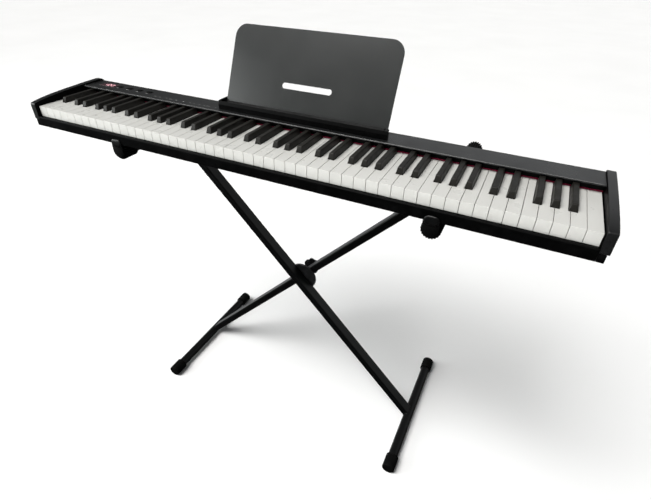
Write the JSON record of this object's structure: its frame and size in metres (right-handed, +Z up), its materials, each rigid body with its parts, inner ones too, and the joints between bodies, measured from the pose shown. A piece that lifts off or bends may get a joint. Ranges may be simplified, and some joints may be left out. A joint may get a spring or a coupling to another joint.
{
  "type": "digital piano on stand",
  "caption": "Slim digital piano with a full keyboard, a lift-out music rest and panel buttons, carried on a folding cross-legged stand with round arms and feet.",
  "frame": {"origin": "on the floor, under the centre of the whole object's box", "axes": "+Z up, +X to the player's right along the keyboard, the player sits on the -Y side"},
  "size_m": [1.255, 0.425, 1.025],
  "materials": {
    "stand_paint": "satin black powder coat",
    "cap_rubber": "matt black moulded rubber",
    "case_plastic": "fine-textured black",
    "panel_plastic": "dark grey, semi-gloss",
    "rest_plastic": "smooth dark grey",
    "white_key": "smooth ivory white",
    "black_key": "matt black",
    "felt": "dark red wool felt",
    "steel": "zinc plated",
    "circuit_board": "green solder mask",
    "display": "dark red tinted window"
  },
  "bodies": {
    "foot_right": {"foot_tube_right": "stand_paint", "foot_cap_right_front": "cap_rubber", "foot_cap_right_rear": "cap_rubber"},
    "leg_front_side": {"leg_front": "stand_paint", "arm_tube_left": "stand_paint", "arm_cap_left_front": "cap_rubber", "arm_cap_left_rear": "cap_rubber", "arm_sleeve_left": "cap_rubber", "lock_disc_front": "stand_paint", "pivot_bolt": "steel"},
    "leg_rear_side": {"leg_rear": "stand_paint", "foot_tube_left": "stand_paint", "foot_cap_left_front": "cap_rubber", "foot_cap_left_rear": "cap_rubber", "arm_tube_right": "stand_paint", "arm_cap_right_front": "cap_rubber", "arm_cap_right_rear": "cap_rubber", "lock_disc_rear": "stand_paint"},
    "lock_knob": {"lock_knob": "case_plastic"},
    "sleeve_right": {"arm_sleeve_right": "cap_rubber"},
    "piano": {"bottom_case": "case_plastic", "key_slip": "case_plastic", "cheek_left": "case_plastic", "cheek_right": "case_plastic", "rear_cover": "case_plastic", "top_panel": "panel_plastic", "fascia_strip": "case_plastic", "felt_strip": "felt", "display_window": "display", "key_frame": "steel", "contact_board": "circuit_board", "main_board": "circuit_board", "button_board": "circuit_board", "speaker_left": "case_plastic", "speaker_right": "case_plastic", "power_inlet": "case_plastic", "jack_block": "case_plastic", "music_rest_ledge": "case_plastic"},
    "music_rest": {"music_rest_plate": "rest_plastic"},
    "button_1": {"panel_button_1": "cap_rubber"},
    "button_2": {"panel_button_2": "cap_rubber"},
    "button_3": {"panel_button_3": "cap_rubber"},
    "button_4": {"panel_button_4": "cap_rubber"},
    "whites_a0_b0": {"white_keys_a0_b0": "white_key"},
    "black_a0": {"black_key_a0": "black_key"},
    "whites_1": {"white_keys_octave_1": "white_key"},
    "blacks_1": {"black_keys_octave_1": "black_key"},
    "whites_2": {"white_keys_octave_2": "white_key"},
    "blacks_2": {"black_keys_octave_2": "black_key"},
    "whites_3": {"white_keys_octave_3": "white_key"},
    "blacks_3": {"black_keys_octave_3": "black_key"},
    "whites_4": {"white_keys_octave_4": "white_key"},
    "blacks_4": {"black_keys_octave_4": "black_key"},
    "whites_5": {"white_keys_octave_5": "white_key"},
    "blacks_5": {"black_keys_octave_5": "black_key"},
    "whites_6": {"white_keys_octave_6": "white_key"},
    "blacks_6": {"black_keys_octave_6": "black_key"},
    "whites_7": {"white_keys_octave_7": "white_key"},
    "blacks_7": {"black_keys_octave_7": "black_key"},
    "white_c8": {"white_key_c8": "white_key"}
  },
  "joints": [
    {"name": "stand_fold", "type": "hinge", "parent": "foot_right", "child": "leg_front_side", "pos_m": [0.367, 0, 0.01685], "axis": [0, 1, 0], "range_deg": [-16, 19]},
    {"name": "leg_cross", "type": "hinge", "parent": "leg_front_side", "child": "leg_rear_side", "pos_m": [0, 0, 0.39777], "axis": [0, 1, 0], "range_deg": [-38.1, 32.1]},
    {"name": "sleeve_turn", "type": "hinge", "parent": "leg_rear_side", "child": "sleeve_right", "pos_m": [0.362, 0, 0.7735], "axis": [0, 1, 0], "range_deg": [-16.1, 19.1]},
    {"name": "knob_turn", "type": "hinge", "parent": "leg_rear_side", "child": "lock_knob", "pos_m": [0, 0.045, 0.39777], "axis": [0, 1, 0], "range_deg": [0, 720]},
    {"name": "piano_lift", "type": "slide", "parent": "sleeve_right", "child": "piano", "axis": [0, 0, 1], "range_m": [0, 0.12]},
    {"name": "music_rest_lift", "type": "slide", "parent": "piano", "child": "music_rest", "axis": [0, 0.3987, 0.9171], "range_m": [0, 0.06]},
    {"name": "button_1_press", "type": "slide", "parent": "piano", "child": "button_1", "axis": [0, 0, -1], "range_m": [0, 0.0008], "stiffness_N_per_m": 1200, "springref_m": -0.0005},
    {"name": "button_2_press", "type": "slide", "parent": "piano", "child": "button_2", "axis": [0, 0, -1], "range_m": [0, 0.0008], "stiffness_N_per_m": 1200, "springref_m": -0.0005},
    {"name": "button_3_press", "type": "slide", "parent": "piano", "child": "button_3", "axis": [0, 0, -1], "range_m": [0, 0.0008], "stiffness_N_per_m": 1200, "springref_m": -0.0005},
    {"name": "button_4_press", "type": "slide", "parent": "piano", "child": "button_4", "axis": [0, 0, -1], "range_m": [0, 0.0008], "stiffness_N_per_m": 1200, "springref_m": -0.0005},
    {"name": "whites_a0_b0_press", "type": "hinge", "parent": "piano", "child": "whites_a0_b0", "pos_m": [0, -0.0135, 0.833], "axis": [1, 0, 0], "range_deg": [0, 3.1], "stiffness_Nm_per_rad": 1.3, "springref_deg": -12.03},
    {"name": "black_a0_press", "type": "hinge", "parent": "piano", "child": "black_a0", "pos_m": [0, -0.0135, 0.833], "axis": [1, 0, 0], "range_deg": [0, 3.1], "stiffness_Nm_per_rad": 0.6, "springref_deg": -11.46},
    {"name": "whites_1_press", "type": "hinge", "parent": "piano", "child": "whites_1", "pos_m": [0, -0.0135, 0.833], "axis": [1, 0, 0], "range_deg": [0, 3.1], "stiffness_Nm_per_rad": 4.6, "springref_deg": -12.03},
    {"name": "blacks_1_press", "type": "hinge", "parent": "piano", "child": "blacks_1", "pos_m": [0, -0.0135, 0.833], "axis": [1, 0, 0], "range_deg": [0, 3.1], "stiffness_Nm_per_rad": 3, "springref_deg": -11.46},
    {"name": "whites_2_press", "type": "hinge", "parent": "piano", "child": "whites_2", "pos_m": [0, -0.0135, 0.833], "axis": [1, 0, 0], "range_deg": [0, 3.1], "stiffness_Nm_per_rad": 4.6, "springref_deg": -12.03},
    {"name": "blacks_2_press", "type": "hinge", "parent": "piano", "child": "blacks_2", "pos_m": [0, -0.0135, 0.833], "axis": [1, 0, 0], "range_deg": [0, 3.1], "stiffness_Nm_per_rad": 3, "springref_deg": -11.46},
    {"name": "whites_3_press", "type": "hinge", "parent": "piano", "child": "whites_3", "pos_m": [0, -0.0135, 0.833], "axis": [1, 0, 0], "range_deg": [0, 3.1], "stiffness_Nm_per_rad": 4.6, "springref_deg": -12.03},
    {"name": "blacks_3_press", "type": "hinge", "parent": "piano", "child": "blacks_3", "pos_m": [0, -0.0135, 0.833], "axis": [1, 0, 0], "range_deg": [0, 3.1], "stiffness_Nm_per_rad": 3, "springref_deg": -11.46},
    {"name": "whites_4_press", "type": "hinge", "parent": "piano", "child": "whites_4", "pos_m": [0, -0.0135, 0.833], "axis": [1, 0, 0], "range_deg": [0, 3.1], "stiffness_Nm_per_rad": 4.6, "springref_deg": -12.03},
    {"name": "blacks_4_press", "type": "hinge", "parent": "piano", "child": "blacks_4", "pos_m": [0, -0.0135, 0.833], "axis": [1, 0, 0], "range_deg": [0, 3.1], "stiffness_Nm_per_rad": 3, "springref_deg": -11.46},
    {"name": "whites_5_press", "type": "hinge", "parent": "piano", "child": "whites_5", "pos_m": [0, -0.0135, 0.833], "axis": [1, 0, 0], "range_deg": [0, 3.1], "stiffness_Nm_per_rad": 4.6, "springref_deg": -12.03},
    {"name": "blacks_5_press", "type": "hinge", "parent": "piano", "child": "blacks_5", "pos_m": [0, -0.0135, 0.833], "axis": [1, 0, 0], "range_deg": [0, 3.1], "stiffness_Nm_per_rad": 3, "springref_deg": -11.46},
    {"name": "whites_6_press", "type": "hinge", "parent": "piano", "child": "whites_6", "pos_m": [0, -0.0135, 0.833], "axis": [1, 0, 0], "range_deg": [0, 3.1], "stiffness_Nm_per_rad": 4.6, "springref_deg": -12.03},
    {"name": "blacks_6_press", "type": "hinge", "parent": "piano", "child": "blacks_6", "pos_m": [0, -0.0135, 0.833], "axis": [1, 0, 0], "range_deg": [0, 3.1], "stiffness_Nm_per_rad": 3, "springref_deg": -11.46},
    {"name": "whites_7_press", "type": "hinge", "parent": "piano", "child": "whites_7", "pos_m": [0, -0.0135, 0.833], "axis": [1, 0, 0], "range_deg": [0, 3.1], "stiffness_Nm_per_rad": 4.6, "springref_deg": -12.03},
    {"name": "blacks_7_press", "type": "hinge", "parent": "piano", "child": "blacks_7", "pos_m": [0, -0.0135, 0.833], "axis": [1, 0, 0], "range_deg": [0, 3.1], "stiffness_Nm_per_rad": 3, "springref_deg": -11.46},
    {"name": "white_c8_press", "type": "hinge", "parent": "piano", "child": "white_c8", "pos_m": [0, -0.0135, 0.833], "axis": [1, 0, 0], "range_deg": [0, 3.1], "stiffness_Nm_per_rad": 0.65, "springref_deg": -12.03}
  ],
  "couplings": [
    {"joint": "leg_cross", "follows": "stand_fold", "ratio": -2},
    {"joint": "sleeve_turn", "follows": "stand_fold", "ratio": 1}
  ]
}
